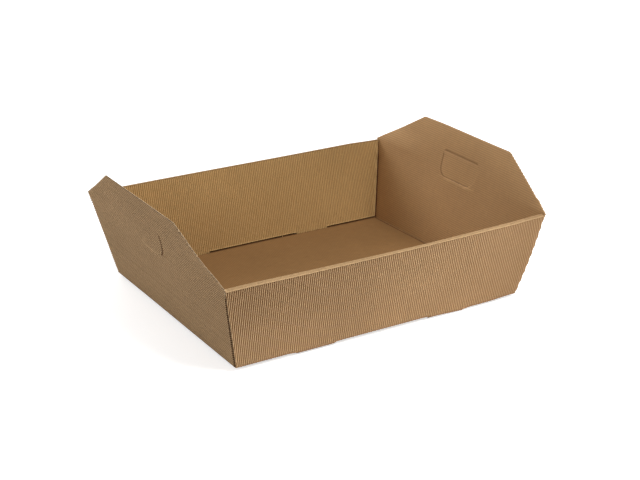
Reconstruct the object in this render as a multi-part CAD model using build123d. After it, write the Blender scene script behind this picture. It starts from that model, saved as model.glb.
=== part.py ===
from build123d import *
import math
import os

# Tray of open-flute board, folded from one blank. Millimetres, Z up, X along the length, Y across.
# The smooth liner faces up on the floor and inwards on the end walls, and the ribs are on the other side.

# Board
board = 1.6
rib_depth = 1.1
rib_pitch = 3.2

# Folded sizes, measured on the outside, over the ribs
base_length = 460.0
base_width = 375.0
rim_length = 520.0
rim_width = 424.0
rim_height = 125.0
crease_below_rim = 2.0
end_wall_height = 186.0
end_wall_top_width = 214.0
end_wall_top_radius = 20.0
wall_depth = 8.4

# Folds, where the board is pressed solid. The top strip stands a little proud of the panels
crease_length = 2.0
strip_thickness = 1.2
strip_proud = 0.15
strip_edge_radius = 0.45

# Locking tabs and the slots that they go through
tab_centre = 106.5
tab_width = 57.0
tab_taper = 1.5
tab_reach = 4.2
slot_side_gap = 1.5
slot_back_gap = 0.6
slot_front_gap = 3.5
floor_gap = 0.5

# Corners of the tray, with the flaps that are tucked inside the long walls
outer_edge_gap_low = 1.0
outer_edge_gap_high = 0.4
inner_edge_gap = 1.2
strip_end_gap = 0.4
corner_gap_low = 2.0
corner_gap_high = 0.5
corner_flap_low = 3.5
corner_flap_high = 114.0
corner_flap_length = 56.0
corner_flap_taper = 9.0
corner_flap_overlap = 0.6

# Hand-hole flaps, measured on the slope of the end wall
flap_crease_slant = 151.5
flap_width = 85.6
flap_height = 39.2
flap_corner_radius = 12.0
flap_gap = 0.35

# How far a cutting shape runs past what it cuts
overrun = 1.0

# Angles and lengths that follow from the sizes above
long_lean = math.atan((rim_width - base_width) / 2 / rim_height)
end_lean = math.atan((rim_length - base_length) / 2 / rim_height)
rim_slant = rim_height / math.cos(end_lean)
top_slant = end_wall_height / math.cos(end_lean)
crease_slant = (rim_height - crease_below_rim) / math.cos(long_lean)
length_growth = math.tan(end_lean) * math.cos(long_lean)
board_along = board / math.cos(end_lean)
board_across = board / math.cos(long_lean)

# The folded panels: local Y runs up the slope of a wall, and local Z points to the ribbed side
long_out = Vector(0, math.cos(long_lean), -math.sin(long_lean))
end_out = Vector(math.cos(end_lean), 0, -math.sin(end_lean))
back_fold = Vector(0, base_width / 2, tab_reach)
right_fold = Vector(base_length / 2, 0, tab_reach)
floor_plane = Plane(origin=(0, 0, tab_reach), x_dir=(1, 0, 0), z_dir=(0, 0, -1))
outer_plane = Plane(origin=back_fold, x_dir=(-1, 0, 0), z_dir=long_out)
inner_plane = Plane(origin=back_fold - long_out * wall_depth, x_dir=(1, 0, 0), z_dir=-long_out)
end_plane = Plane(origin=right_fold, x_dir=(0, 1, 0), z_dir=end_out)


def half_length(slant):
    """Half of the tray's outer length, a given way up the slope of a long wall."""
    return base_length / 2 + length_growth * slant


def outline_of(*points):
    """A flat face through the given points."""
    return make_face(Polyline(*points, close=True))


def rib_profile(reach):
    """Section across the board: the liner's back at -board, and triangular ribs with their crests at zero."""
    steps = math.ceil(reach / rib_pitch)
    ends = (steps + 0.5) * rib_pitch
    points = [(-ends, -rib_depth), (-ends, -board), (ends, -board), (ends, -rib_depth)]
    for step in range(steps, -steps - 1, -1):
        points.append((step * rib_pitch, 0))
        points.append(((step - 0.5) * rib_pitch, -rib_depth))
    return outline_of(*points[:-1])


def ribbed_sheet(outline, ribs_run_up):
    """The outline as a ribbed board. The ribs run up the panel, or across it."""
    box = outline.bounding_box()
    reach_x = max(-box.min.X, box.max.X)
    reach_y = max(-box.min.Y, box.max.Y)
    if ribs_run_up:
        comb = extrude(Plane.XZ * rib_profile(reach_x), reach_y + overrun, dir=(0, 1, 0), both=True)
    else:
        comb = extrude(Plane.YZ * rib_profile(reach_y), reach_x + overrun, dir=(1, 0, 0), both=True)
    block = extrude(Pos(0, 0, -board - overrun) * outline, board + 2 * overrun, dir=(0, 0, 1))
    return comb & block


def fold_section(edge, lean):
    """Section of the solid fold along an edge of the floor, with its outer corner pressed flat."""
    rise = crease_length * math.cos(lean)
    run = crease_length * math.sin(lean)
    return outline_of(
        (edge - crease_length, tab_reach),
        (edge + run, tab_reach + rise),
        (edge + run - board * math.cos(lean), tab_reach + rise + board * math.sin(lean)),
        (edge - board * (1 - math.sin(lean)) / math.cos(lean), tab_reach + board),
        (edge - crease_length, tab_reach + board),
    )


# Floor, with a slot for each locking tab
inner_face_at_floor = base_width / 2 - wall_depth / math.cos(long_lean)
liner_face_at_floor = inner_face_at_floor + board_across + board * math.tan(long_lean)
slot_near = inner_face_at_floor - slot_front_gap
slot_far = liner_face_at_floor + slot_back_gap
slot_shape = Rectangle(tab_width + 2 * slot_side_gap, slot_far - slot_near)
floor_outline = Rectangle(base_length - 2 * crease_length, base_width - 2 * crease_length)
for end in (-1, 1):
    for side in (-1, 1):
        floor_outline -= Pos(end * tab_centre, side * (slot_near + slot_far) / 2) * slot_shape
floor = floor_plane * ribbed_sheet(floor_outline, True)

# Outer panel of the back wall
panel_top = crease_slant - strip_thickness / 2
low_half = half_length(crease_length) - outer_edge_gap_low
high_half = half_length(panel_top) - outer_edge_gap_high
outer_outline = outline_of(
    (-low_half, crease_length),
    (low_half, crease_length),
    (high_half, panel_top),
    (-high_half, panel_top),
)
outer_panel = outer_plane * ribbed_sheet(outer_outline, True)
back_fold_bar = extrude(Plane.YZ * fold_section(base_width / 2, long_lean), low_half, dir=(1, 0, 0), both=True)

# Top strip between the two creases, with its ribs pressed flat
up_slope = Vector(0, math.sin(long_lean), math.cos(long_lean))
strip_plane = Plane(origin=back_fold - long_out * wall_depth / 2, x_dir=(1, 0, 0), z_dir=up_slope)
strip_half = half_length(crease_slant) - board_along - strip_end_gap
strip_bar = Pos(0, 0, panel_top) * Box(2 * strip_half, wall_depth + 2 * strip_proud, strip_thickness)
upper_edges = strip_bar.edges().filter_by(Axis.X).group_by(Axis.Z)[-1]
strip = strip_plane * fillet(upper_edges, strip_edge_radius)

# Inner panel, hanging from the strip, with two locking tabs at its foot
panel_foot = (board + floor_gap - (wall_depth - board) * math.sin(long_lean)) / math.cos(long_lean)
tab_foot = -2 * tab_reach
foot_half = half_length(panel_foot) - board_along - inner_edge_gap
inner_half = half_length(panel_top) - board_along - inner_edge_gap
near_edge = tab_centre - tab_width / 2
far_edge = tab_centre + tab_width / 2
right_side = [
    (near_edge + tab_taper, tab_foot),
    (far_edge - tab_taper, tab_foot),
    (far_edge, panel_foot),
    (foot_half, panel_foot),
    (inner_half, panel_top),
]
left_side = [(-x, y) for x, y in reversed(right_side)]
inner_outline = outline_of((near_edge, panel_foot), *right_side, *left_side, (-near_edge, panel_foot))
below_ground = Box(rim_length, rim_width, 2 * tab_reach, align=(Align.CENTER, Align.CENTER, Align.MAX))
inner_panel = inner_plane * ribbed_sheet(inner_outline, True) - below_ground

# End wall, with its hand hole
growth_across = (rim_width - base_width) / 2 / rim_slant
side_low = base_width / 2 - board_across - corner_gap_low
side_high = base_width / 2 + growth_across * corner_flap_high - board_across - corner_gap_high
end_right = [
    (side_low, crease_length),
    (side_high, corner_flap_high),
    (rim_width / 2, rim_slant),
    (end_wall_top_width / 2, top_slant),
]
end_left = [(-x, y) for x, y in reversed(end_right)]
end_outline = outline_of(*end_right, *end_left)
top_corners = end_outline.vertices().sort_by(Axis.Y)[-2:]
end_outline = fillet(top_corners, end_wall_top_radius)


def hand_flap_outline(gap):
    """The hand-hole flap seen square to the end wall, grown at its sides and foot by the gap."""
    shape = Rectangle(flap_width + 2 * gap, flap_height + gap, align=(Align.CENTER, Align.MAX))
    feet = shape.vertices().sort_by(Axis.Y)[:2]
    return Pos(0, flap_crease_slant) * fillet(feet, flap_corner_radius + gap)


end_wall = end_plane * ribbed_sheet(end_outline - hand_flap_outline(flap_gap), False)
end_fold_bar = extrude(Plane.XZ * fold_section(base_length / 2, end_lean), side_low, dir=(0, 1, 0), both=True)

# Hand-hole flap, just clear of its hole all round and at the crease
crease_clearance = Pos(0, flap_crease_slant) * Rectangle(flap_width + 2 * flap_gap, 2 * flap_gap)
hand_flap = end_plane * ribbed_sheet(hand_flap_outline(0) - crease_clearance, False)

# Corner flap, folded from the side of the end wall and tucked between the long wall's two panels
tuck_lean = math.atan((side_high - side_low) / (corner_flap_high * math.cos(end_lean)))
tuck_out = Vector(0, math.cos(tuck_lean), -math.sin(tuck_lean))
tuck_plane = Plane(origin=(0, side_low, tab_reach), x_dir=(-1, 0, 0), z_dir=tuck_out)
tuck_low = half_length(corner_flap_low) - board_along
tuck_high = half_length(corner_flap_high) - board_along
tuck_outline = outline_of(
    (-tuck_low - corner_flap_overlap, corner_flap_low),
    (-tuck_high - corner_flap_overlap, corner_flap_high),
    (-tuck_high + corner_flap_length - corner_flap_taper, corner_flap_high),
    (-tuck_low + corner_flap_length, corner_flap_low),
)
corner_flap = tuck_plane * extrude(tuck_outline, -board, dir=(0, 0, 1))

# The whole blank, folded
back_wall = back_fold_bar + outer_panel + strip + inner_panel
front_wall = back_wall.mirror(Plane.XZ)
right_end = end_fold_bar + end_wall + corner_flap + corner_flap.mirror(Plane.XZ)
left_end = right_end.mirror(Plane.YZ)
tray = floor + back_wall + front_wall + right_end + left_end

os.makedirs("parts", exist_ok=True)
export_step(tray, "parts/tray.step")
export_step(hand_flap, "parts/right_hand_flap.step")
export_step(hand_flap.mirror(Plane.YZ), "parts/left_hand_flap.step")
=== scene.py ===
"""An open tray folded from one blank of open-flute kraft board.

Shapes are worked out in millimetres, in the tray's own frame: X along its length, Y across, Z up.
Every sheet of board is two papers: a smooth liner, and the fluting that is glued to its back in waves.
A point of a wall has three numbers. The slant is how far up the slope it lies, from the fold along the
floor. Along is its place along the wall. The depth is how far it lies behind the crest plane, in which
the tops of full ribs are.
"""
import math
import bpy
import numpy as np
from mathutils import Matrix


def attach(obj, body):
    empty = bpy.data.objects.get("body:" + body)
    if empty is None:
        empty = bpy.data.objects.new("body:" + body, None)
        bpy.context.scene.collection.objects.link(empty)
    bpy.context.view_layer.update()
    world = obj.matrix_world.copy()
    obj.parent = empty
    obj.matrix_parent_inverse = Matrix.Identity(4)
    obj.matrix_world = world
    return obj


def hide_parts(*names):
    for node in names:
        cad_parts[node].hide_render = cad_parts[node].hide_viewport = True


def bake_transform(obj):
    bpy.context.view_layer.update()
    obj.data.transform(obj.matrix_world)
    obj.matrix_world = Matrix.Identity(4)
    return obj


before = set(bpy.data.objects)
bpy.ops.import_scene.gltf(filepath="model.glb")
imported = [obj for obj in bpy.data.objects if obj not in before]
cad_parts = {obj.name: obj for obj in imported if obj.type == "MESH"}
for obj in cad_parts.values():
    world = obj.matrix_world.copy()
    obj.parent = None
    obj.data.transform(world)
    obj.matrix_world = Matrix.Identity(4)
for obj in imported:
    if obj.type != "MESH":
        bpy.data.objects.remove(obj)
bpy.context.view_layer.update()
rng = np.random.default_rng(20)

# Board
board = 1.6
rib_depth = 1.1
rib_pitch = 3.2
paper = 0.2
liner_depth = 1.25

# Steps of the grids along a wall: the fluting needs many columns, and the liner few. Edges bent by more than
# the sharp angle aren't smoothed
samples_per_rib = 8
rib_step = rib_pitch / samples_per_rib
liner_step = 19.2
sharp_angle = math.radians(62)

# Tray, measured on the outside over the ribs
base_half_length = 230.0
base_half_width = 187.5
rim_half_length = 260.0
rim_half_width = 212.0
rim_height = 125.0
end_wall_height = 186.0
ground_gap = 4.2
wall_depth = 8.4
crease = 2.0
long_lean = math.atan((rim_half_width - base_half_width) / rim_height)
end_lean = math.atan((rim_half_length - base_half_length) / rim_height)
rim_slant = rim_height / math.cos(end_lean)
top_slant = end_wall_height / math.cos(end_lean)
length_growth = math.tan(end_lean) * math.cos(long_lean)
board_along = board / math.cos(end_lean)

# Long walls: the outer panel, and the inner panel, which is drawn in at the rim and has a nick in its foot
half_strip_thickness = 0.6
panel_top = (rim_height - crease) / math.cos(long_lean) - half_strip_thickness
outer_end_gap = 2.0
outer_low_half = base_half_length + length_growth * crease - outer_end_gap
outer_high_half = base_half_length + length_growth * panel_top - outer_end_gap
inner_end_gap = 1.2
inner_foot = 2.3
foot_half = base_half_length + length_growth * inner_foot - board_along - inner_end_gap
inner_high_half = base_half_length + length_growth * panel_top - board_along - inner_end_gap
rim_drawn_in = 2.3
middle_drawn_in = 1.6
nick_place = 52.0
nick_half = 0.8
nick_run = 0.1

# Locking tabs, and the slots that they go through
tab_near = 78.0
tab_far = 135.0
tab_run = 0.6
tab_tip = -5.93
tab_bend = 1.0
slot_near_x = 77.9
slot_far_x = 135.1
slot_near_y = 178.9
slot_far_y = 181.48

# End wall: half widths at heights up its slope, and its corner flaps
fold_end_half = 185.2
fold_half = 182.8
top_half = 107.0
top_radius = 9.0
corner_flap_low = 3.5
corner_flap_high = 114.0
corner_flap_high_half = 206.8
corner_flap_length = 56.0
corner_flap_taper = 9.0
corner_radius = 1.3

# Hand hole and its flap
hole_crease = 151.5
hole_gap = 0.03
fold_gap = 0.35
fold_reach = 0.75
fold_groove = 0.12
fold_front_proud = 0.25
fold_back_gap = 0.02
flap_top_gap = 0.15
flap_push = 1.25
hand_half = 42.8
hand_height = 39.2
back_radius = 16.0
front_radius = 22.0
crease_radius = 5.0
crease_rise = 1.6
crease_sink = 0.22
hole_foot = hole_crease - hand_height - hole_gap

# The small set of the folded tray: how far its corners, rims and folds stand from their drawn places
front_left_in = 3.5
front_right_in = 2.6
back_right_in = 7.0
end_top_in = 1.5
end_top_drop = 0.6
front_right_bow = 1.8
front_left_rise = 1.3
front_middle_sag = 1.15
back_left_rise = 1.2
tab_dip = 1.9
front_hang = 1.9
back_sink = 0.6
back_right_sink = 2.0
right_end_twist = 1.6
set_height = 129.0


def smooth(values, start, end):
    """A smooth step: zero before start and one after end.

    Between them it is three times the square of the share less twice its cube.
    """
    share = np.clip((values - start) / (end - start), 0, 1)
    return share * share * (3 - 2 * share)


def near(values, place, spread):
    """One at the place, falling to both sides on a bell curve: e to the power of minus the squared share."""
    return np.exp(-((values - place) / spread) ** 2)


def strongest(shade, *others):
    """The largest of several shades at each point."""
    for other in others:
        shade = np.maximum(shade, other)
    return shade


# Each rib stands to its own height, a little under the full depth
most_ribs = 200
rib_spread = 0.035
rib_heights = 1 - np.abs(rng.normal(0, rib_spread, 2 * most_ribs + 1))


def own_height(across):
    """The height of the nearest rib, as a share of the full depth."""
    return rib_heights[np.rint(across / rib_pitch).astype(int) + most_ribs]


def fluting_depth(across, press=1):
    """How far the fluting lies under the crest plane: the rib depth, less the height of a cosine wave.

    The wave's height is the rib's own height times the press, which is one for an untouched rib and small
    in a crease.
    """
    wave = 0.5 * (1 + np.cos(2 * np.pi * across / rib_pitch))
    return rib_depth * (1 - press * own_height(across) * wave)


def valley_share(across, press=1):
    """The fluting's depth as a share of the rib depth: near zero on a crest, and one in a valley."""
    return fluting_depth(across, press) / rib_depth


def wall_section(slant, edge, lean, inner=False):
    """Crest line of a wall in the plane across it, as outward distance and height, and its ribs' direction.

    Up to the crease length each side of the fold the line is a quadratic curve round the corner, and above
    that it is straight. The inner panel is the same straight line, moved in by the wall's depth, with its
    ribs turned inwards. Its tabs bend outwards below the floor.
    """
    up = np.array([math.sin(lean), math.cos(lean)])
    out = np.array([math.cos(lean), -math.sin(lean)])
    corner = np.array([edge, ground_gap])
    slant = np.asarray(slant, float)[..., None]
    if inner:
        bend = tab_bend * np.clip(slant / tab_tip, 0, 1) ** 1.5 * np.array([1, 0])
        return corner - wall_depth * out + slant * up + bend, np.broadcast_to(-out, slant.shape[:-1] + (2,))
    start = corner - [crease, 0]
    end = corner + crease * up
    t = np.clip((slant + crease) / (2 * crease), 0, 1)
    curve = (1 - t) ** 2 * start + 2 * t * (1 - t) * corner + t * t * end
    line = curve + np.maximum(slant - crease, 0) * up
    tangent = (1 - t) * (corner - start) + t * (end - corner)
    tangent = tangent / np.linalg.norm(tangent, axis=-1, keepdims=True)
    return line, np.stack([tangent[..., 1], -tangent[..., 0]], -1)


def settled(points):
    """The small set of a folded tray. Each part of it is one size times smooth steps along X, Y and Z.

    Three rim corners stand in. At two of them the shift grows with the height, and at the front right corner
    with the height's cube. The front wall's right end bows out on half a sine wave of the height.
    The tops of the end walls lean in and stand a little lower. Between the hand hole's sides an end wall
    leans in only above the flap's crease, so that the flap turns freely.
    The front rim rises to its left end and sags right of its middle on a bell curve, and the back rim rises
    to its left.
    The long folds dip where the tabs press on them, and the front fold hangs right of its right tab.
    The foot of the back wall sinks, the most at its right end, but no tab's tip does.
    The right end wall is twisted, with its back corners lower and its front ones higher.
    """
    x, y, z = points[..., 0], points[..., 1], points[..., 2]
    share = np.clip(z / set_height, 0, 1)
    height = share * (1 - smooth(z, set_height, 165))

    front_left = front_left_in * smooth(-x, 150, 255) * smooth(-y, 70, 200) * height
    back_right = back_right_in * smooth(x, 150, 255) * smooth(y, 70, 200) * height
    cubed = share ** 3 * (1 - smooth(z, 125, 190))
    front_right = front_right_in * smooth(x, 190, 258) * smooth(-y, 60, 205) * cubed
    bow = front_right_bow * smooth(x, 180, 240) * smooth(-y, 185, 190) * np.sin(np.pi * height)
    lean_start = 148 - 58 * smooth(np.abs(y), 50, 110)
    lean_in = smooth(z, lean_start, 185) * smooth(np.abs(x), 200, 250)
    along = front_left - back_right - front_right + bow - end_top_in * np.sign(x) * lean_in

    rim_line = front_left_rise * smooth(-x, 110, 250) - front_middle_sag * near(x, 35, 165)
    front_rim = smooth(-y, 165, 195) * rim_line
    back_rim = back_left_rise * smooth(y, 150, 190) * smooth(-x, -120, 180)
    lift = (front_rim + back_rim) * height

    away = np.abs(x)
    over_tab = smooth(away, tab_near - 3, tab_near + 1) * (1 - smooth(away, tab_far - 1, tab_far + 1))
    hang = front_hang * smooth(x, 80, 140) * (1 - smooth(x, 175, 225)) * (y < 0)
    dip = (tab_dip * over_tab + hang) * smooth(np.abs(y), 182, 186) * (1 - smooth(z, 4.5, 22))
    deepest = back_sink + back_right_sink * smooth(x, -20, 235)
    sink = deepest * smooth(y, 40, 182) * smooth(z, 0, 2.5) * (1 - smooth(z, 8, 110))

    front_up = right_end_twist * smooth(-y, 45, 200) * (1 - 0.4 * smooth(z, 135, 185))
    back_down = right_end_twist * smooth(y, 45, 120)
    twist = (front_up - back_down) * smooth(x, 190, 256) * smooth(z, 40, 125)

    upwards = lift + twist - dip - sink - end_top_drop * lean_in
    return points + np.stack([along, 0 * x, upwards], -1)


def drawn_in(along):
    """How far the inner panel comes closer to the outer one at the rim: a constant and a bell curve.

    The curve is highest a little right of the middle.
    """
    return rim_drawn_in + middle_drawn_in * near(along, 35, 120)


def long_wall_surface(side, inner=False):
    """A function that puts (slant, along, depth) of a long wall in the tray.

    The side is 1 at the back and -1 in front. The inner panel comes closer to the outer one in proportion to
    the height up the slope.
    """
    def surface(slant, along, depth):
        line, normal = wall_section(slant, base_half_width, long_lean, inner)
        closer = drawn_in(along) * np.clip(slant / panel_top, 0, 1) if inner else 0
        across = line - (depth + closer)[..., None] * normal
        return np.stack([along, side * across[..., 0], np.maximum(across[..., 1], 0)], -1)
    return surface


def end_wall_surface(end, push=0):
    """A function that puts (slant, along, depth) of an end wall in the tray.

    The end is 1 at the right and -1 at the left. The push is how far the foot of the hand flap stands out
    from the wall. It grows in a straight line from the flap's crease, and gets less to the flap's two sides
    on smooth steps, the most to the back.
    """
    def surface(slant, along, depth):
        line, normal = wall_section(slant, base_half_length, end_lean)
        fade = 1 - 0.85 * smooth(along, 6, 34) - 0.5 * smooth(-along, 26, 42)
        stand = push * np.clip((hole_crease - slant) / hand_height, 0, 1) * fade
        across = line - (depth - stand)[..., None] * normal
        return np.stack([end * across[..., 0], along, across[..., 1]], -1)
    return surface


def floor_surface(y, x, depth):
    """A point of the floor: the crest plane's height plus the depth, because the floor's ribs point down."""
    return np.stack([x, y, ground_gap + depth], -1)


def closed_sheet(name, front, back, material, body, node, keep=None, **shades):
    """A thin closed sheet: a grid of front points, a grid of back points, and a wall round the kept faces.

    All faces are turned over if they point inwards, which the sign of the volume that they enclose shows.
    Each shade is a grid of shares from 0 to 1, which the paper's material reads by its name: wear and
    painted highlight, painted shade, and the valleys' painted shade. A piece given no body is attached to
    none.
    """
    rows, columns = front.shape[:2]
    keep = np.ones((rows - 1, columns - 1), bool) if keep is None else keep
    index = np.arange(rows * columns).reshape(rows, columns)
    a, b, c, d = index[:-1, :-1], index[:-1, 1:], index[1:, 1:], index[1:, :-1]
    behind = rows * columns
    front_faces = np.stack([a, b, c, d], -1)[keep]
    back_faces = front_faces[:, ::-1] + behind
    outside = ~np.pad(keep, 1)
    walls = []
    for first, second, open_side in (
        (a, b, outside[:-2, 1:-1]),
        (b, c, outside[1:-1, 2:]),
        (c, d, outside[2:, 1:-1]),
        (d, a, outside[1:-1, :-2]),
    ):
        edge = keep & open_side
        walls.append(np.stack([second[edge], first[edge], first[edge] + behind, second[edge] + behind], -1))
    walls = np.concatenate(walls)
    faces = np.concatenate([front_faces, back_faces, walls])
    points = np.concatenate([front.reshape(-1, 3), back.reshape(-1, 3)])
    used, faces = np.unique(faces, return_inverse=True)
    faces = faces.reshape(-1, 4)
    points = settled(points[used]) / 1000

    one_diagonal = points[faces[:, 2]] - points[faces[:, 0]]
    other_diagonal = points[faces[:, 3]] - points[faces[:, 1]]
    if (np.cross(one_diagonal, other_diagonal) * points[faces].mean(1)).sum() < 0:
        faces = faces[:, ::-1]

    mesh = bpy.data.meshes.new(name)
    mesh.vertices.add(len(points))
    mesh.vertices.foreach_set("co", points.ravel())
    mesh.loops.add(faces.size)
    mesh.loops.foreach_set("vertex_index", faces.ravel().astype(np.int32))
    mesh.polygons.add(len(faces))
    mesh.polygons.foreach_set("loop_start", np.arange(0, faces.size, 4, dtype=np.int32))
    mesh.update(calc_edges=True)
    mesh.materials.append(material)
    mesh.materials.append(cut_edge)
    slots = np.repeat([0, 1], [len(front_faces) + len(back_faces), len(walls)])
    mesh.polygons.foreach_set("material_index", slots.astype(np.int32))
    mesh.polygons.foreach_set("use_smooth", np.ones(len(faces), bool))
    for shade, grid in shades.items():
        grid = np.broadcast_to(grid, (rows, columns)).ravel()
        both = np.concatenate([grid, grid])[used].astype(np.float32)
        mesh.attributes.new(shade, "FLOAT", "POINT").data.foreach_set("value", both)
    mesh.set_sharp_from_angle(angle=sharp_angle)
    piece = bpy.data.objects.new(name, mesh)
    bpy.context.scene.collection.objects.link(piece)
    if body:
        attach(piece, body)
    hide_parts(node)
    return piece


def board_sheets(name, surface, slant, along, across_ribs, press, fluting, liner, liner_grids,
                 body="tray", node="tray", keep=None, worn=0, scored=0, sink=0, inside=None):
    """The board of one panel, as a wavy fluting sheet on the crest side and a flat liner sheet behind it.

    The liner has its own grids of slant and along with its kept faces. Inside holds the liner's shades, and
    the sink is how far it is pressed back in a crease.
    """
    depth = fluting_depth(across_ribs, press)
    # The valley share sets how much of the valleys' painted shade the fluting gets
    closed_sheet(name + "_fluting", surface(slant, along, depth), surface(slant, along, depth + paper),
                 fluting, body, node, keep, worn=worn, scored=scored, valley=depth / rib_depth)
    slant, along, keep = liner_grids
    front = surface(slant, along, liner_depth - sink + 0 * slant)
    back = surface(slant, along, board - sink + 0 * slant)
    closed_sheet(name + "_liner", front, back, liner, body, node, keep, **(inside or {}))


def grid_of(low_of, rows, columns):
    """Grids of slant and along for a panel, and the faces that are kept.

    The lower edge is a function of the place along the panel. Rows under it are lifted on to it, and a face
    that has no height left is dropped.
    """
    low = low_of(columns)
    slant = np.maximum(rows[:, None], low[None, :])
    along = np.broadcast_to(columns, slant.shape)
    lifted = rows[:, None] <= low[None, :] + 1e-9
    keep = ~(lifted[1:, :-1] & lifted[1:, 1:])
    return slant, along, keep


def places(half, step, *extra):
    """Even steps from -half to half, with the extra places and their mirror images, and both ends."""
    steps = np.arange(-math.floor(half / step), math.floor(half / step) + 1) * step
    marks = np.array([*extra, half])
    both = np.concatenate([steps, marks, -marks])
    return np.unique(np.round(both[np.abs(both) <= half + 1e-9], 4))


# Materials

# The Mix node's sockets for colours, by number, because its names are shared with those for other kinds
mix_share, mix_first, mix_second, mix_result = 0, 6, 7, 2

# The scales of the paper's patterns, of which the higher are the finer
cloud_scale, fleck_scale, fibre_scale = 9, 420, 900

# What a fleck, wear and painted highlight, and painted shade make of the paper's own red, green and blue
pale_fleck = (1.35, 1.42, 1.5)
dark_fleck = (0.62, 0.56, 0.5)
worn_tint = (1.5, 1.6, 1.72)
scored_tint = (0.32, 0.24, 0.18)


def add_node(tree, kind, operation=None, values=(), links=()):
    """A shader node of a kind and operation. Values are pairs of an input and its value.

    Each link names an input, the node that feeds it, and that node's output.
    """
    node = tree.nodes.new("ShaderNode" + kind)
    if operation:
        node.operation = operation
    for socket, value in values:
        node.inputs[socket].default_value = value
    for socket, source, output in links:
        tree.links.new(source.outputs[output], node.inputs[socket])
    return node


def kraft_paper(name, colour, stretch, crest=(1, 1, 1), valley=(1, 1, 1), washboard=None, fleck=0.35,
                shine=0.14, blotch_scale=120, blotch_change=0.03):
    """Kraft paper: a brown ground with clouds, blotches, fine fibres, pale and dark flecks, wear and painted
    highlights, and painted shade.

    The colour is the ground mixed with the flecks, times a tint that runs from the crests' painted highlight
    to the valleys' painted shade, then mixed with the colour of wear and painted highlight and with that of
    painted shade, and all of it times the tone. The tone is the product of the clouds, the blotches and the
    fibres, each a noise that varies round one. The stretch gives the way the fibres lie, and washboard is the
    axis on which the glued ribs show through the liner, as bumps and as painted shade in the tone.
    """
    material = bpy.data.materials.new(name)
    material.use_nodes = True
    tree = material.node_tree
    shader = tree.nodes["Principled BSDF"]
    shader.inputs["Specular IOR Level"].default_value = shine
    place = add_node(tree, "TexCoord")
    lay = add_node(tree, "Mapping", values=[("Scale", stretch)], links=[("Vector", place, "Object")])

    def noise(source, output, scale, detail, rough=0.55):
        """A noise on the given coordinates."""
        values = [("Scale", scale), ("Detail", detail), ("Roughness", rough)]
        return add_node(tree, "TexNoise", values=values, links=[("Vector", source, output)])

    def ranged(source, low, high, bottom, top):
        """A straight line from bottom at low to top at high, and flat outside them."""
        values = enumerate((low, high, bottom, top), start=1)
        return add_node(tree, "MapRange", values=values, links=[("Value", source, "Fac")])

    def varied(source, low, high, change):
        """A share that varies round one, by the change each way."""
        return ranged(source, low, high, 1 - change, 1 + change)

    def times(first, second):
        """The product of two numbers."""
        return add_node(tree, "Math", "MULTIPLY", links=[(0, first, 0), (1, second, 0)])

    def mixed(base, other, share):
        """The base colour, and as much of the other one as the share says."""
        mix = add_node(tree, "Mix")
        mix.data_type = "RGBA"
        if isinstance(base, tuple):
            mix.inputs[mix_first].default_value = (*base, 1)
        else:
            output = mix_result if base.bl_idname == "ShaderNodeMix" else 0
            tree.links.new(base.outputs[output], mix.inputs[mix_first])
        mix.inputs[mix_second].default_value = (*other, 1)
        tree.links.new(share.outputs[0], mix.inputs[mix_share])
        return mix

    def own(tint):
        """The paper's own colour, each of its parts times the tint's."""
        return tuple(part * change for part, change in zip(colour, tint))

    clouds = varied(noise(place, "Object", cloud_scale, 3), 0.3, 0.7, 0.045)
    blotches = varied(noise(place, "Object", blotch_scale, 4), 0.3, 0.7, blotch_change)
    fibre_noise = noise(lay, "Vector", fibre_scale, 5, 0.6)
    tone = times(times(clouds, blotches), varied(fibre_noise, 0.25, 0.75, 0.06))
    bump = add_node(tree, "Bump", values=[("Strength", 0.35), ("Distance", 0.0002)],
                    links=[("Height", fibre_noise, "Fac")])
    if washboard:
        # The wave texture has one band in 2 pi / 20 metres at a scale of one
        lean = math.cos(end_lean) if washboard == "Z" else 1
        band_scale = 2 * math.pi / (20 * 0.001 * rib_pitch * lean)
        bands = add_node(tree, "TexWave", values=[("Scale", band_scale), ("Distortion", 0.4)],
                         links=[("Vector", place, "Object")])
        bands.bands_direction = washboard
        # The bands lighten and darken the tone as painted shade of the washboard's waves, beside the bump
        tone = times(tone, varied(bands, 0, 1, 0.12))
        bump = add_node(tree, "Bump", values=[("Strength", 0.6), ("Distance", 0.0001)],
                        links=[("Height", bands, "Fac"), ("Normal", bump, "Normal")])

    shares = {}
    for shade in ("valley", "worn", "scored"):
        read = add_node(tree, "Attribute")
        read.attribute_name = shade
        shares[shade] = ranged(read, 0, 1, 0, 1)
    flecks = noise(lay, "Vector", fleck_scale, 2, 0.5)
    ground = mixed(colour, own(pale_fleck), ranged(flecks, 0.66, 0.74, 0, fleck))
    ground = mixed(ground, own(dark_fleck), ranged(flecks, 0.34, 0.27, 0, fleck))
    # The ribs' crests get a painted highlight and their valleys painted shade, over the shade of their shape
    painted_rib_highlight_and_shade = mixed(crest, valley, shares["valley"])
    ground = add_node(tree, "VectorMath", "MULTIPLY",
                      links=[(0, ground, mix_result), (1, painted_rib_highlight_and_shade, mix_result)])
    # Lighter by wear and by painted highlight
    ground = mixed(ground, own(worn_tint), shares["worn"])
    # Darker by painted shade
    ground = mixed(ground, own(scored_tint), shares["scored"])
    toned = add_node(tree, "VectorMath", "SCALE", links=[(0, ground, mix_result), ("Scale", tone, 0)])
    tree.links.new(toned.outputs[0], shader.inputs["Base Color"])
    tree.links.new(ranged(fibre_noise, 0.3, 0.7, 0.72, 0.88).outputs[0], shader.inputs["Roughness"])
    tree.links.new(bump.outputs["Normal"], shader.inputs["Normal"])
    return material
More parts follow.
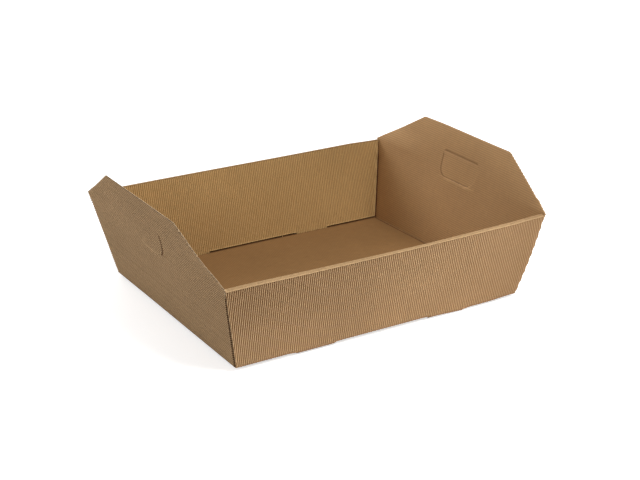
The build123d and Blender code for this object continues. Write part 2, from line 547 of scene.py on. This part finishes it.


# The browns, fitted panel by panel to the photograph, and the ways the fibres lie. The browns and the
# tints of crest and valley hold part of its light and shade: the real sheet has one brown a side
# Painted shade: the floor's brown is about half as bright as the end walls' liner, and the end walls' ribbed
# brown about four fifths of the long walls'. The inner panels' brown is warmer, with painted light bounced
# inside the tray
kraft_brown = (0.48, 0.295, 0.143)
end_brown_with_painted_shade = (0.387, 0.241, 0.12)
inner_brown_with_painted_light = (0.485, 0.306, 0.127)
floor_brown_with_painted_shade = (0.26, 0.14, 0.054)
liner_brown = (0.459, 0.267, 0.115)
pressed_brown = (0.375, 0.235, 0.116)
cut_brown = (0.58, 0.42, 0.26)
along_x = (0.14, 1, 1)
along_z = (1, 1, 0.14)
# Each crest tint is a painted highlight and each valley tint painted shade, the darkest on the end walls
inner_fluting = kraft_paper("ribbed_kraft_inside", inner_brown_with_painted_light, along_x,
                            crest=(1.13, 1.15, 1.19), valley=(0.65, 0.61, 0.56))
long_fluting = kraft_paper("ribbed_kraft_long_walls", kraft_brown, along_x,
                           crest=(1.36, 1.5, 1.7), valley=(0.34, 0.22, 0.12))
end_fluting = kraft_paper("ribbed_kraft_end_walls", end_brown_with_painted_shade, along_z,
                          crest=(1.55, 1.64, 1.76), valley=(0.13, 0.09, 0.05), fleck=0.2)
floor_liner = kraft_paper("smooth_kraft_floor", floor_brown_with_painted_shade, along_x, washboard="X")
end_liner = kraft_paper("smooth_kraft_end_walls", liner_brown, along_z, washboard="Z", shine=0.45)
hidden_liner = kraft_paper("smooth_kraft_long_walls", liner_brown, along_x)
pressed_kraft = kraft_paper("pressed_kraft_strip", pressed_brown, along_x, fleck=0.9, blotch_scale=330,
                            blotch_change=0.13)
cut_edge = kraft_paper("cut_edge_of_the_board", cut_brown, along_x, fleck=0.8)


# Floor, with a slot at each locking tab

def floor_grids(step):
    """Grids of Y and X for the floor, and its faces without those over the tabs' slots."""
    x = places(base_half_length - crease, step, slot_near_x, slot_far_x, 225.0)
    y = places(base_half_width - crease, 60.0, slot_near_y, slot_far_y, 172.0, 177.6)
    y, x = np.meshgrid(y, x, indexing="ij")
    middle_x = np.abs(x[:-1, :-1] + x[1:, 1:]) / 2
    middle_y = np.abs(y[:-1, :-1] + y[1:, 1:]) / 2
    within_x = (middle_x > slot_near_x) & (middle_x < slot_far_x)
    within_y = (middle_y > slot_near_y) & (middle_y < slot_far_y)
    return y, x, ~(within_x & within_y)


def add_floor():
    """The floor: its ribs are pressed at the folds, and it has painted shade under the inner panels and at
    its ends.
    """
    y, x, keep = floor_grids(rib_step)
    press = 1 - 0.6 * smooth(np.abs(x), 225, 228) - 0.6 * smooth(np.abs(y), 182, 185.5)
    liner_grids = floor_grids(liner_step)
    across, along, _ = liner_grids
    shadow = 0.9 * strongest(smooth(np.abs(across), 177.6, 179), smooth(np.abs(along), 225, 228))
    board_sheets("floor", floor_surface, y, x, x, np.maximum(press, 0.3), long_fluting, floor_liner,
                 liner_grids, keep=keep, inside={"scored": shadow})


# Long walls: the outer panel with its fold, the inner panel with its locking tabs, and the strip on top

# Rows of the grids, close together in a fold and a crease, and the marks that columns have to lie on
fold_rows = [-2, -1.2, -0.4, 0.4, 1.2]
panel_rows = [35, 65, 95, 120]
outer_rows = np.array([*fold_rows, 2, 3, 4.5, 7, *panel_rows, 122, 123.4, panel_top])
inner_rows = np.array([tab_tip, -3.5, -1.5, 0, 1, inner_foot, 3.2, 3.9, 4.7, *panel_rows, 122.8, 124,
                       panel_top])
inner_marks = (tab_near, tab_near + tab_run, tab_far - tab_run, tab_far, foot_half,
               nick_place - nick_half, nick_place - nick_half + nick_run,
               nick_place + nick_half - nick_run, nick_place + nick_half)

# How far a panel's slanted sides rise for each millimetre outwards
outer_side_rise = (panel_top - crease) / (outer_high_half - outer_low_half)
inner_side_rise = (panel_top - inner_foot) / (inner_high_half - foot_half)


def outer_low_edge(x):
    """The outer panel's lower edge: under the fold along the floor, and up its slanted side beyond that."""
    beyond = np.abs(x) - outer_low_half
    return np.where(beyond <= 1e-6, -crease, crease + beyond * outer_side_rise)


def inner_low_edge(x):
    """The inner panel's lower edge: its foot with a small uncut nick, its two tabs, and its slanted sides."""
    away = np.abs(x)
    foot = inner_foot + np.maximum(away - foot_half, 0) * inner_side_rise
    into_tab = np.minimum(away - tab_near, tab_far - away) / tab_run
    into_nick = (nick_half - np.abs(x - nick_place)) / nick_run
    return foot + (tab_tip - foot) * np.clip(into_tab, 0, 1) - foot * np.clip(into_nick, 0, 1)


def rim_press(slant):
    """How much of a rib's height is left as it nears the crease at the rim: it falls on a smooth step."""
    return 1 - 0.45 * smooth(slant, 123, panel_top)


def front_wall_shades(slant, along, worn, scored):
    """The front wall's outside, which is seen the most: painted light makes it lighter low down, in its
    middle and at its right end.

    It has painted shade high up to the left and at its right end, the most in the valleys, and a painted
    shadow, the darkest, in the gap beside a tab.
    """
    middle = near(along, 30, 110) * near(slant, 62, 45)
    painted_light = strongest(1 - smooth(slant, 0, 80), 0.75 * middle) * (1 - 0.5 * smooth(along, 80, 170))
    painted_light = strongest(painted_light, 0.7 * smooth(along, 90, 240))
    high_left = smooth(slant, 30, 125) * smooth(-along, -60, 240)
    painted_shade_left_and_right = (0.12 + 0.5 * valley_share(along)) * high_left + 0.27 * smooth(along, 140, 250)
    gap = strongest(near(along, -tab_far, 1.6), near(along, tab_near, 1.6)) * (1 - smooth(slant, 0.4, 2.4))
    return strongest(worn, 0.18 * painted_light), strongest(scored + painted_shade_left_and_right, 0.95 * gap)


def add_outer_panel(side, name):
    """A long wall's outer panel: paler along its fold and at its sides, with painted shade under its fold
    and in the valleys under the rim.
    """
    surface = long_wall_surface(side)
    columns = places(outer_high_half, rib_step, outer_low_half)
    slant, along, keep = grid_of(outer_low_edge, outer_rows, columns)
    press = (0.35 + 0.65 * smooth(slant, 1.5, 5)) * rim_press(slant)
    side_edge = outer_low_half + (slant - crease) / outer_side_rise
    worn = strongest(0.25 * (1 - smooth(np.abs(slant - 0.6), 0.6, 1.8)),
                     0.4 * smooth(np.abs(along) - side_edge, -1.0, -0.3))
    # Painted shade in the valleys under the strip, and under the fold
    scored = 0.75 * smooth(slant, 121.8, 123.8) * valley_share(along) + 0.7 * (1 - smooth(slant, -1.4, 0.2))
    if side < 0:
        worn, scored = front_wall_shades(slant, along, worn, scored)
    liner_grids = grid_of(outer_low_edge, outer_rows, places(outer_high_half, liner_step, outer_low_half))
    board_sheets(name + "_outer_panel", surface, slant, along, along, press, long_fluting, hidden_liner,
                 liner_grids, keep=keep, worn=worn, scored=scored)


def add_inner_panel(side, name):
    """A long wall's inner panel: its tallest ribs are paler at the foot's cut edge, and its tabs have painted
    shade.

    Low down, the back wall's has painted shade to the left and painted light to the right.
    """
    surface = long_wall_surface(side, inner=True)
    slant, along, keep = grid_of(inner_low_edge, inner_rows, places(inner_high_half, rib_step, *inner_marks))
    at_foot = 1 - smooth(slant - inner_low_edge(along), 0.5, 1.9)
    worn = 0.75 * at_foot * smooth(own_height(along), 0.86, 0.98)
    # Painted shade on the tabs under the floor
    scored = 0.7 * (1 - smooth(slant, -3, 0))
    if side > 0:
        low = 1 - smooth(slant, 20, 110)
        worn = strongest(worn, 0.12 * low * smooth(along, 40, 220))
        scored = strongest(scored, 0.18 * low * smooth(-along, -60, 190))
    liner_grids = grid_of(inner_low_edge, inner_rows, places(inner_high_half, liner_step, *inner_marks))
    board_sheets(name + "_inner_panel", surface, slant, along, along, rim_press(slant), inner_fluting,
                 hidden_liner, liner_grids, keep=keep, worn=worn, scored=scored,
                 inside={"scored": 0.8 * (1 - smooth(liner_grids[0], -3, 0))})


# The top strip's section, from its outer crease to its inner one: distances outwards from its middle and
# heights over the panels, the same distances on its underside, and how much wear and painted
# highlight it has
strip_half = 256.6
strip_reach = 4.35
strip_tilt = 0.5
strip_thickness = 0.45
strip_across = np.array([strip_reach, strip_reach, 4.25, 3.95, 3.5, 2.2, 0,
                         -2.2, -3.5, -3.95, -4.25, -strip_reach, -strip_reach])
strip_height = np.array([0, 0.5, 0.85, 1.1, 1.18, 1.08, 1.05, 1.08, 1.18, 1.1, 0.85, 0.5, 0])
strip_under = np.array([3.7, 3.7, 3.6, 3.4, 3.1, 2.1, 0, -2.1, -3.1, -3.4, -3.6, -3.7, -3.7])
strip_worn = np.array([0, 0.25, 0.75, 0.85, 0.45, 0.05, 0, 0.05, 0.12, 0.2, 0.2, 0.1, 0])


def strip_points(side, across, height, along):
    """A point of the top strip, from its distance outwards from the middle and its height over the panels.

    The distance is drawn in towards the outer crease, and the outer crease is a little the lower one.
    """
    across = strip_reach - (strip_reach - across) * (1 - drawn_in(along) / wall_depth)
    height = height - strip_tilt * smooth(across, -2, strip_reach)
    middle_y = base_half_width - 0.5 * wall_depth * math.cos(long_lean)
    middle_z = ground_gap + 0.5 * wall_depth * math.sin(long_lean)
    lift = panel_top + height
    y = middle_y + lift * math.sin(long_lean) + across * math.cos(long_lean)
    z = middle_z + lift * math.cos(long_lean) - across * math.sin(long_lean)
    return np.stack([along, side * y, z], -1)


def add_top_strip(side, name):
    """The pressed strip between a long wall's creases, with faint ribs, edges paler with wear and painted
    highlight, a paler left end, and painted shade towards its right end.
    """
    across, along = np.meshgrid(strip_across, places(strip_half, rib_pitch / 4), indexing="ij")
    faint_rib = 0.07 * (1 - np.cos(2 * np.pi * along / rib_pitch)) * smooth(-np.abs(across), -4.3, -3)
    front = strip_points(side, across, strip_height[:, None] - faint_rib, along)
    below = np.maximum(strip_height - strip_thickness, 0)[:, None] + 0 * along
    back = strip_points(side, np.broadcast_to(strip_under[:, None], across.shape), below, along)
    speckled = (strip_worn[:, None] + 0.12) * rng.uniform(0.2, 1.5, along.shape)
    left_end = smooth(-along, strip_half - 3.5, strip_half - 1)
    right_end = smooth(along, strip_half - 2, strip_half - 0.5)
    closed_sheet(name + "_top_strip", front, back, pressed_kraft, "tray", "tray",
                 worn=strongest(speckled, left_end),
                 scored=strongest(0.5 * right_end, 0.22 * smooth(along, 180, 250)))


# End walls, with their hand holes, hand flaps and corner flaps

def rounded_foot(slant, half, foot, radius):
    """Half width of an outline with a rounded lower corner: a circle's near the foot, and full above it."""
    below = np.clip(foot + radius - slant, 0, radius)
    return half - radius + np.sqrt(radius ** 2 - below ** 2)


def hand_outline(slant, gap):
    """Half widths of the hand flap's outline to the front and to the back, grown by the gap."""
    return [rounded_foot(slant, hand_half + gap, hole_crease - hand_height - gap, radius + gap)[:, None]
            for radius in (front_radius, back_radius)]


def hole_distance(slant, along):
    """Distance outwards from the hand hole's scored outline, a box with rounded corners just over the crease.

    Beside a corner it is the distance from the corner's centre, and elsewhere the larger of the two
    distances from the sides, each less the corner's radius.
    """
    middle = (hole_foot + hole_crease + crease_rise) / 2
    half_height = (hole_crease + crease_rise - hole_foot) / 2
    radius = np.where(slant > middle, crease_radius, np.where(along < 0, front_radius, back_radius))
    beside = np.abs(along) - hand_half + radius
    beyond = np.abs(slant - middle) - half_height + radius
    corner = np.hypot(np.maximum(beside, 0), np.maximum(beyond, 0))
    return np.where((beside > 0) | (beyond > 0), corner, np.maximum(beside, beyond)) - radius


def end_half(slant):
    """Half width of an end wall: straight lines between five heights, and a circle at the top corner.

    It is less by the corner's radius where the corner flap goes round.
    """
    width = np.interp(slant, [crease, crease + 1, corner_flap_high, rim_slant, top_slant],
                      [fold_end_half, fold_half, corner_flap_high_half, rim_half_width, top_half])
    wrap = (slant >= corner_flap_low) & (slant <= corner_flap_high)
    width = np.where(wrap, width - corner_radius, width)
    turn = math.atan2(top_slant - rim_slant, rim_half_width - top_half)
    tangent = top_radius * math.tan(turn / 2)
    start = top_slant - tangent * math.sin(turn)
    up = np.clip(slant - (top_slant - top_radius), 0, top_radius)
    arc = top_half - tangent + np.sqrt(top_radius ** 2 - up ** 2)
    return np.where(slant > start, arc, width)


# Shares of a side band close to the wall's edge and to the hand hole, and more for the liner's seam
edge_shares = (0.007, 0.018)
hole_shares = (0.97, 0.981, 0.989, 0.995)
seam_shares = (0.025, 0.032, 0.047, 0.08)

# How far the inner panel's face moves outwards for each millimetre up the end wall, from the slots' near side
inner_face_rise = 0.209


def end_grids(rows, side_columns, hole_columns, seam=()):
    """Grids of slant and place across for an end wall in three bands, with the hand hole's faces dropped.

    The seam gives more shares of a side band, close to the wall's edge.
    """
    half = end_half(rows)[:, None]
    front, back = hand_outline(rows, hole_gap)
    share = np.sort([*np.linspace(0, 1, side_columns + 1), *edge_shares, *hole_shares, *seam])
    side_columns = len(share) - 1
    middle = np.linspace(0, 1, hole_columns + 1)
    left = -half + (half - front) * share
    right = half - (half - back) * share[::-1]
    along = np.concatenate([left[:, :-1], -front + (front + back) * middle, right[:, 1:]], axis=1)
    slant = np.broadcast_to(rows[:, None], along.shape)
    keep = np.ones((len(rows) - 1, along.shape[1] - 1), bool)
    centres = (rows[1:] + rows[:-1]) / 2
    open_rows = (centres > hole_foot) & (centres < hole_crease)
    keep[open_rows, side_columns:side_columns + hole_columns] = False
    return slant, along, keep


# Rows of an end wall: the fluting has eight to a rib, and the liner has them close together only where the
# hand hole's foot, its crease and the wall's top corners are
end_marks = [crease, corner_flap_low, corner_flap_low - 0.01, corner_flap_high, corner_flap_high + 0.01,
             rim_slant, hole_foot, hole_crease, top_slant]
rib_rows = np.unique(np.round([*fold_rows, *np.arange(crease, top_slant, rib_step), *end_marks], 4))
foot_rows = rib_rows[(rib_rows > hole_foot - 2.4) & (rib_rows < hole_foot + front_radius + 1)]
crease_rows = np.arange(hole_crease, 157, 0.7)
top_rows = np.arange(188, top_slant, 0.4)
liner_rows = np.unique(np.round([*fold_rows, *np.arange(crease, top_slant, rib_pitch), *foot_rows,
                                 *crease_rows, *top_rows, *end_marks], 4))


def seam_shade(up, across):
    """The painted shade of an end wall beside a long wall: full in the gap, and less in front of the inner
    panel.

    It falls on two smooth steps of the distance in front of the panel's face, and fades out under the rim.
    """
    before = slot_near_y + inner_face_rise * up - np.abs(across)
    dark = 0.95 * (1 - smooth(before, -0.3, 2.6)) + 0.25 * (1 - smooth(before, 0, 11))
    return np.minimum(dark, 1) * (1 - smooth(up, 95, 118))


def outside_shades(slant, along, press):
    """The shades of an end wall's ribbed outside: wear and painted highlight, and painted shade.

    Its fold, and the ribs' crests at its sides and top on ragged places, are paler with wear and painted
    highlight, and so are some whole ribs at its sides, where the sum of two sine waves is high. It has
    painted shade at the flap's crease and round the front half of the flap.
    """
    ragged = rng.uniform(0.3, 1.4, slant.shape)
    crest = 1 - valley_share(slant, press)
    at_side = smooth(np.abs(along) - end_half(slant), -1.6, -0.5)
    rim = strongest(at_side, 0.6 * smooth(slant, top_slant - 1.4, top_slant))
    ticks = smooth(np.sin(0.93 * slant) + np.sin(0.41 * slant + 1), 1.25, 1.75)
    worn = strongest(0.3 * (1 - smooth(np.abs(slant), 1.0, 3.0)), np.minimum(0.65 * crest * rim * ragged, 1),
                     ticks * at_side)
    at_crease = near(slant, hole_crease, 0.3) * (np.abs(along) < hand_half + 0.5)
    beside_hole = smooth(slant, hole_crease, hole_crease - 5) * smooth(slant, 112, 116)
    cut = near(hole_distance(slant, along), 0.7, 2.1) * beside_hole * smooth(-along, 20, 34)
    scored = strongest(cut, 0.6 * at_crease)
    return worn, scored


def inside_shades(up, across, upper, crease_line):
    """The shades of an end wall's smooth inside, by name.

    It has painted shade along the crease line, at the fold, in the seams beside the long walls, and at the
    hand hole's back side. It has painted light growing towards the top, and is paler at its edges, on ragged
    places round the hand hole, and at one pale spot under the hole.
    """
    ragged = rng.uniform(0.3, 1, across.shape)
    outline = hole_distance(up, across)
    lower = 1 - upper
    cut = ragged * near(outline, 0.9, 1.3) * lower * (0.35 + 0.65 * smooth(up, 125, 113)) * (across < 36)
    spot = near(outline, 1.3, 1.5) * near(across, -24, 7) * (up < 118)
    edge = smooth(strongest(np.abs(across) - end_half(up), up - top_slant), -3.2, -1.0)
    return {
        "scored": strongest(0.68 * crease_line, 0.6 * (1 - smooth(up, 0, 1.5)), seam_shade(up, across),
                            0.7 * near(outline, 0.3, 0.7) * lower * smooth(across, 20, 38)),
        "worn": strongest(0.3 * smooth(up, 118, 188), 0.55 * edge, cut, spot),
    }


def add_end_wall(end, name):
    """An end wall with its fold. Its liner is pressed back along the hand flap's crease."""
    slant, along, keep = end_grids(rib_rows, side_columns=7, hole_columns=14)
    press = 0.3 + 0.7 * smooth(slant, 1.5, 4.5)
    worn, scored = outside_shades(slant, along, press)
    liner_grids = end_grids(liner_rows, side_columns=7, hole_columns=30, seam=seam_shares)
    up, across, _ = liner_grids
    upper = smooth(up, hole_crease - 3, hole_crease)
    crease_line = near(hole_distance(up, across), 0.3, 1.0) * upper
    board_sheets(name + "_end_wall", end_wall_surface(end), slant, along, slant, press, end_fluting,
                 end_liner, liner_grids, keep=keep, worn=worn, scored=scored,
                 sink=crease_sink * crease_line, inside=inside_shades(up, across, upper, crease_line))


def add_hand_flap(end, name):
    """A hand flap: paler on its crests at its cut edge, with wear and painted highlight, and with painted
    shade at its crease. Inside, it is a little paler all over, has a painted highlight under its crease, and
    a ragged rim of painted shade.
    """
    flap = name + "_hand_flap"
    foot = hole_crease - hand_height
    flap_top = hole_crease - flap_top_gap
    rib_lines = np.arange(math.ceil(foot / rib_step), flap_top / rib_step) * rib_step
    rows = np.unique(np.round([foot, *rib_lines, flap_top], 4))
    front, back = hand_outline(rows, 0)
    share = np.sort(np.append(np.linspace(-1, 1, 31), [-0.985, -0.96, 0.96, 0.985]))
    along = np.where(share < 0, front, back) * share
    slant = np.broadcast_to(rows[:, None], along.shape)
    liner_top = hole_crease - 2 * fold_gap
    up = np.minimum(slant, liner_top)
    liner_keep = np.broadcast_to(rows[:-1, None] < liner_top, (len(rows) - 1, len(share) - 1))

    ragged = rng.uniform(0.2, 1, along.shape)
    rim = near(hole_distance(slant, along), 0, 1.25)
    crest = 1 - valley_share(slant)
    worn = 0.9 * rim * strongest(crest, 0.5 * smooth(slant, 116, 112.5))
    scored = strongest(0.6 * near(slant, hole_crease, 0.35), 0.7 * rim * smooth(-along, 34, 42))
    at_edge = strongest(0.75 * smooth(along, 25, 36), 0.95 * ragged * smooth(up, 120, 113))
    inside = {
        "scored": rim * (1 - smooth(up, 145, 149)) * at_edge,
        "worn": strongest(0.15, 0.45 * near(up, liner_top - 1.2, 1.0)),
    }
    board_sheets(flap, end_wall_surface(end, flap_push), slant, along, slant, np.ones(slant.shape),
                 end_fluting, end_liner, (up, along, liner_keep), body=flap, node=flap,
                 worn=worn, scored=scored, inside=inside)
    add_flap_fold(name + "_hand_flap_fold", end, flap)


def add_flap_fold(name, end, body):
    """The pressed crease that carries a hand flap: a thin strip of liner across the gap.

    It is a little thicker than the liner, and grooved on both faces along its middle on a bell curve.
    """
    bend_line = hole_crease - fold_gap
    slant, along = np.meshgrid(bend_line + np.linspace(-1, 1, 9) * fold_reach,
                               np.linspace(-hand_half, hand_half, 25), indexing="ij")
    surface = end_wall_surface(end)
    groove = fold_groove * near(slant, bend_line, 0.3)
    piece = closed_sheet(name, surface(slant, along, liner_depth - fold_front_proud + groove),
                         surface(slant, along, board - fold_back_gap - groove), end_liner, None, body)
    ends = np.array([bend_line + fold_reach, bend_line - fold_reach])
    middle = surface(ends, np.zeros(2), np.full(2, board)) / 1000
    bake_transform(piece)


def corner_flap_surface(end, side):
    """A function that puts (slant, away, depth) of a corner flap in the tray.

    Away runs from the end wall's face round the corner, on a quadratic curve, and then straight along the
    flap.
    """
    tuck = math.atan((corner_flap_high_half - fold_half) / (corner_flap_high * math.cos(end_lean)))
    end_out = np.array([math.cos(end_lean), 0, -math.sin(end_lean)])
    tuck_out = np.array([0, math.cos(tuck), -math.sin(tuck)])

    def surface(slant, away, depth):
        x = base_half_length + slant * math.sin(end_lean)
        y = np.interp(slant, [crease, corner_flap_high], [fold_half, corner_flap_high_half])
        edge = np.stack([x, y, ground_gap + slant * math.cos(end_lean)], -1)
        t = np.clip(away / corner_radius, 0, 1)[..., None]
        inwards = corner_radius * t * t + np.maximum(away[..., None] - corner_radius, 0)
        point = edge - corner_radius * (1 - t) ** 2 * np.array([0, 1, 0]) - inwards * np.array([1, 0, 0])
        normal = (1 - t) * end_out + t * tuck_out
        normal = normal / np.linalg.norm(normal, axis=-1, keepdims=True)
        return (point - depth[..., None] * normal) * np.array([end, side, 1])
    return surface


def add_corner_flap(end, side, name):
    """A corner flap: a painted highlight on its crests at the corner, and painted shade where it is tucked
    into the long wall.
    """
    rows = rib_rows[(rib_rows >= corner_flap_low) & (rib_rows <= corner_flap_high)]
    share_up = (rows - corner_flap_low) / (corner_flap_high - corner_flap_low)
    reach = corner_flap_length - corner_flap_taper * share_up + board
    bend = np.broadcast_to(np.linspace(0, corner_radius, 6), (len(rows), 6))
    straight = corner_radius + (reach[:, None] - corner_radius) * np.linspace(0, 1, 5)[1:]
    away = np.concatenate([bend, straight], axis=1)
    slant = np.broadcast_to(rows[:, None], away.shape)
    worn = 0.9 * (1 - valley_share(slant)) * (1 - smooth(away, 0.5, 1.2))
    scored = smooth(away, 1.0, 1.35) * (0.1 + 0.6 * smooth(slant, 20, 100))
    board_sheets(name, corner_flap_surface(end, side), slant, away, slant, np.ones(slant.shape),
                 end_fluting, end_liner, (slant, away, None), worn=worn, scored=scored)


add_floor()
for side, name in ((1, "back"), (-1, "front")):
    add_outer_panel(side, name)
    add_inner_panel(side, name)
for side, name in ((1, "back"), (-1, "front")):
    add_top_strip(side, name)
for end, name in ((1, "right"), (-1, "left")):
    add_end_wall(end, name)
    add_hand_flap(end, name)
    for side, place in ((1, "back"), (-1, "front")):
        add_corner_flap(end, side, f"{place}_{name}_corner_flap")


# Studio floor, light and camera

def studio_floor():
    """A wide round floor at height zero: rings of points, whose radius grows with their number's 1.5th power.

    What the camera sees of it is lifted to white, and more so far away, where the lamps don't reach: the lift
    is a straight line of the distance from the middle.
    """
    rings, spokes, widest = 12, 64, 12.0
    radius, angle = np.meshgrid(np.linspace(0, 1, rings) ** 1.5 * widest,
                                np.linspace(0, 2 * np.pi, spokes + 1)[:-1], indexing="ij")
    points = np.stack([radius * np.cos(angle), radius * np.sin(angle), 0 * radius], -1).reshape(-1, 3)
    ring = np.arange(rings - 1)[:, None] * spokes
    spoke = np.arange(spokes)[None, :]
    after = (spoke + 1) % spokes
    faces = np.stack([ring + spoke, ring + spokes + spoke, ring + spokes + after, ring + after], -1)
    faces = faces.reshape(-1, 4)
    mesh = bpy.data.meshes.new("studio_floor")
    mesh.from_pydata(points.tolist(), [], faces.tolist())

    material = bpy.data.materials.new("studio_white")
    material.use_nodes = True
    tree = material.node_tree
    tree.nodes.clear()
    paint = add_node(tree, "BsdfDiffuse", values=[("Color", (0.8, 0.8, 0.8, 1))])
    place = add_node(tree, "TexCoord")
    seen = add_node(tree, "LightPath")
    away = add_node(tree, "VectorMath", "LENGTH", links=[(0, place, "Object")])
    near_end, far_end, near_lift, far_lift = 1.2, 4.0, 0.64, 0.86
    rise = add_node(tree, "MapRange", values=enumerate((near_end, far_end, near_lift, far_lift), start=1),
                    links=[("Value", away, "Value")])
    lift = add_node(tree, "Math", "MULTIPLY", links=[(0, seen, "Is Camera Ray"), (1, rise, 0)])
    glow = add_node(tree, "Emission", links=[("Strength", lift, 0)])
    both = add_node(tree, "AddShader", links=[(0, paint, 0), (1, glow, 0)])
    add_node(tree, "OutputMaterial", links=[("Surface", both, 0)])
    mesh.materials.append(material)
    floor = bpy.data.objects.new("studio_floor", mesh)
    bpy.context.scene.collection.objects.link(floor)


def white_world(strength):
    """An even white surround, which the camera sees as plain white."""
    world = bpy.data.worlds.new("white_surround")
    world.use_nodes = True
    tree = world.node_tree
    tree.nodes.clear()
    light = add_node(tree, "Background", values=[("Strength", strength)])
    seen = add_node(tree, "Background", values=[("Strength", 1.0)])
    choose = add_node(tree, "MixShader",
                      links=[(0, add_node(tree, "LightPath"), "Is Camera Ray"), (1, light, 0), (2, seen, 0)])
    add_node(tree, "OutputWorld", links=[("Surface", choose, 0)])
    bpy.context.scene.world = world


lamp_target = np.array([0.05, 0, 0.05])


def soft_lamp(name, place, size, power):
    """A square lamp that faces the target. It is tipped by the angle off straight down, and then turned."""
    lamp = bpy.data.lights.new(name, "AREA")
    lamp.size = size
    lamp.energy = power
    holder = bpy.data.objects.new(name, lamp)
    holder.location = place
    away = np.array(place) - lamp_target
    flat = math.hypot(away[0], away[1])
    holder.rotation_euler = (math.atan2(flat, away[2]), 0, math.atan2(away[0], -away[1]))
    bpy.context.scene.collection.objects.link(holder)


studio_floor()
white_world(0.21)
soft_lamp("low_front_right_lamp", (0.7, -0.9, 0.12), 0.5, 4.9)
soft_lamp("steep_front_lamp", (0.5, -1.2, 2.3), 1.0, 38)
soft_lamp("high_front_right_lamp", (0.8, -1.6, 1.8), 1.0, 18.5)
soft_lamp("low_left_lamp", (-2.2, 0.3, 0.6), 1.0, 7.6)
soft_lamp("left_back_lamp", (-1.8, 1.6, 1.2), 1.2, 18)
soft_lamp("back_lamp", (0, 2.4, 1.4), 1.2, 23)

camera = bpy.data.cameras.new("camera")
camera.sensor_width = 36
camera.lens = 80.52
holder = bpy.data.objects.new("camera", camera)
holder.location = (-0.99670, -1.65631, 0.85166)
holder.rotation_euler = (math.radians(68.037), 0, math.radians(-31.344))
bpy.context.scene.collection.objects.link(holder)
bpy.context.scene.camera = holder
bpy.context.scene.view_settings.view_transform = "Standard"

bpy.context.view_layer.update()
